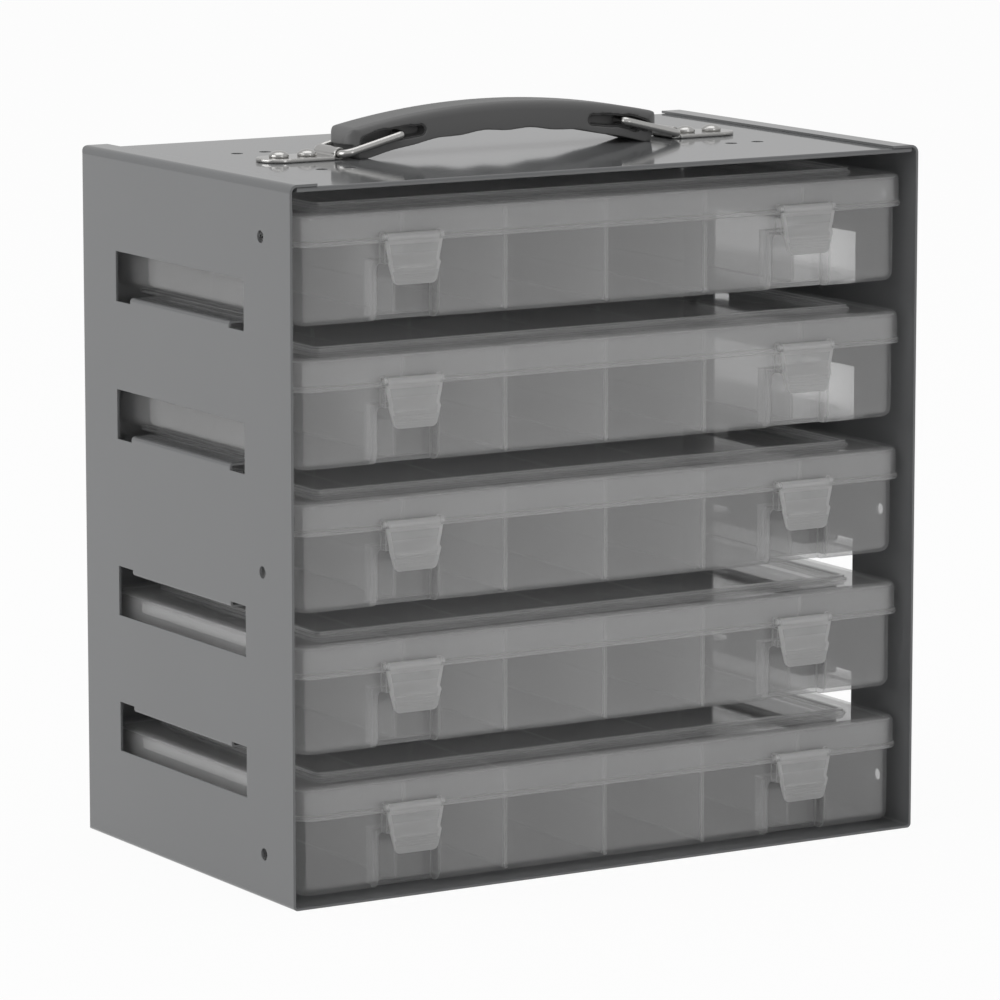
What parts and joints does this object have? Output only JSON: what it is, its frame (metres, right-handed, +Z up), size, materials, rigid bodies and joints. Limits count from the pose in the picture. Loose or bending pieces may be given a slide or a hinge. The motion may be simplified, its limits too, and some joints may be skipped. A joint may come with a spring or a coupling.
{
  "type": "compartment box rack",
  "caption": "Bent-steel carrying rack with side ledges, a stack of lidded compartment boxes that draw out at the front, and a lift-up handle on wire links.",
  "frame": {"origin": "middle of the underside of the rack", "axes": "+Z up, front of the rack faces -Y, +X to the right as seen from the front"},
  "size_m": [0.2878, 0.1708, 0.2974],
  "materials": {
    "coated_steel": "semi-gloss",
    "plated_steel": "polished",
    "grip_plastic": "satin",
    "tray_plastic": "translucent",
    "lid_plastic": "translucent",
    "latch_plastic": "translucent"
  },
  "bodies": {
    "rack": {"rack_body": "coated_steel", "top_back_panel": "coated_steel", "handle_plate_left": "plated_steel", "handle_plate_right": "plated_steel", "handle_rivets": "plated_steel"},
    "grip": {"grip": "grip_plastic", "slot_liners": "plated_steel"},
    "link_left": {"wire_link_left": "plated_steel"},
    "link_right": {"wire_link_right": "plated_steel"},
    "box_1": {"tray_1": "tray_plastic", "lid_1": "lid_plastic", "dividers_1": "tray_plastic", "hinge_pins_1": "plated_steel"},
    "latch_left_1": {"latch_left_1": "latch_plastic"},
    "latch_right_1": {"latch_right_1": "latch_plastic"},
    "box_2": {"tray_2": "tray_plastic", "lid_2": "lid_plastic", "dividers_2": "tray_plastic", "hinge_pins_2": "plated_steel"},
    "latch_left_2": {"latch_left_2": "latch_plastic"},
    "latch_right_2": {"latch_right_2": "latch_plastic"},
    "box_3": {"tray_3": "tray_plastic", "lid_3": "lid_plastic", "dividers_3": "tray_plastic", "hinge_pins_3": "plated_steel"},
    "latch_left_3": {"latch_left_3": "latch_plastic"},
    "latch_right_3": {"latch_right_3": "latch_plastic"},
    "box_4": {"tray_4": "tray_plastic", "lid_4": "lid_plastic", "dividers_4": "tray_plastic", "hinge_pins_4": "plated_steel"},
    "latch_left_4": {"latch_left_4": "latch_plastic"},
    "latch_right_4": {"latch_right_4": "latch_plastic"},
    "box_5": {"tray_5": "tray_plastic", "lid_5": "lid_plastic", "dividers_5": "tray_plastic", "hinge_pins_5": "plated_steel"},
    "latch_left_5": {"latch_left_5": "latch_plastic"},
    "latch_right_5": {"latch_right_5": "latch_plastic"}
  },
  "joints": [
    {"name": "grip_lift", "type": "slide", "parent": "rack", "child": "grip", "axis": [0, 0, 1], "range_m": [0, 0.0185]},
    {"name": "link_left_swing", "type": "hinge", "parent": "rack", "child": "link_left", "pos_m": [-0.078, 0, 0.2805], "axis": [0, -1, 0], "range_deg": [0, 42]},
    {"name": "link_right_swing", "type": "hinge", "parent": "rack", "child": "link_right", "pos_m": [0.078, 0, 0.2805], "axis": [0, 1, 0], "range_deg": [0, 42]},
    {"name": "box_1_slide", "type": "slide", "parent": "rack", "child": "box_1", "axis": [0, -1, 0], "range_m": [0, 0.175]},
    {"name": "latch_left_1_swing", "type": "hinge", "parent": "box_1", "child": "latch_left_1", "pos_m": [-0.0891, -0.0831, 0.0355], "axis": [-1, 0, 0], "range_deg": [0, 150]},
    {"name": "latch_right_1_swing", "type": "hinge", "parent": "box_1", "child": "latch_right_1", "pos_m": [0.0919, -0.0831, 0.0355], "axis": [-1, 0, 0], "range_deg": [0, 150]},
    {"name": "box_2_slide", "type": "slide", "parent": "rack", "child": "box_2", "axis": [0, -1, 0], "range_m": [0, 0.175]},
    {"name": "latch_left_2_swing", "type": "hinge", "parent": "box_2", "child": "latch_left_2", "pos_m": [-0.0891, -0.0831, 0.0908], "axis": [-1, 0, 0], "range_deg": [0, 150]},
    {"name": "latch_right_2_swing", "type": "hinge", "parent": "box_2", "child": "latch_right_2", "pos_m": [0.0919, -0.0831, 0.0908], "axis": [-1, 0, 0], "range_deg": [0, 150]},
    {"name": "box_3_slide", "type": "slide", "parent": "rack", "child": "box_3", "axis": [0, -1, 0], "range_m": [0, 0.175]},
    {"name": "latch_left_3_swing", "type": "hinge", "parent": "box_3", "child": "latch_left_3", "pos_m": [-0.0891, -0.0831, 0.1461], "axis": [-1, 0, 0], "range_deg": [0, 150]},
    {"name": "latch_right_3_swing", "type": "hinge", "parent": "box_3", "child": "latch_right_3", "pos_m": [0.0919, -0.0831, 0.1461], "axis": [-1, 0, 0], "range_deg": [0, 150]},
    {"name": "box_4_slide", "type": "slide", "parent": "rack", "child": "box_4", "axis": [0, -1, 0], "range_m": [0, 0.175]},
    {"name": "latch_left_4_swing", "type": "hinge", "parent": "box_4", "child": "latch_left_4", "pos_m": [-0.0891, -0.0831, 0.2014], "axis": [-1, 0, 0], "range_deg": [0, 150]},
    {"name": "latch_right_4_swing", "type": "hinge", "parent": "box_4", "child": "latch_right_4", "pos_m": [0.0919, -0.0831, 0.2014], "axis": [-1, 0, 0], "range_deg": [0, 150]},
    {"name": "box_5_slide", "type": "slide", "parent": "rack", "child": "box_5", "axis": [0, -1, 0], "range_m": [0, 0.175]},
    {"name": "latch_left_5_swing", "type": "hinge", "parent": "box_5", "child": "latch_left_5", "pos_m": [-0.0891, -0.0831, 0.2567], "axis": [-1, 0, 0], "range_deg": [0, 150]},
    {"name": "latch_right_5_swing", "type": "hinge", "parent": "box_5", "child": "latch_right_5", "pos_m": [0.0919, -0.0831, 0.2567], "axis": [-1, 0, 0], "range_deg": [0, 150]}
  ],
  "couplings": [
    {"joint": "link_left_swing", "follows": "grip_lift", "rad_per_m": 39.623},
    {"joint": "link_right_swing", "follows": "grip_lift", "rad_per_m": 39.623}
  ]
}
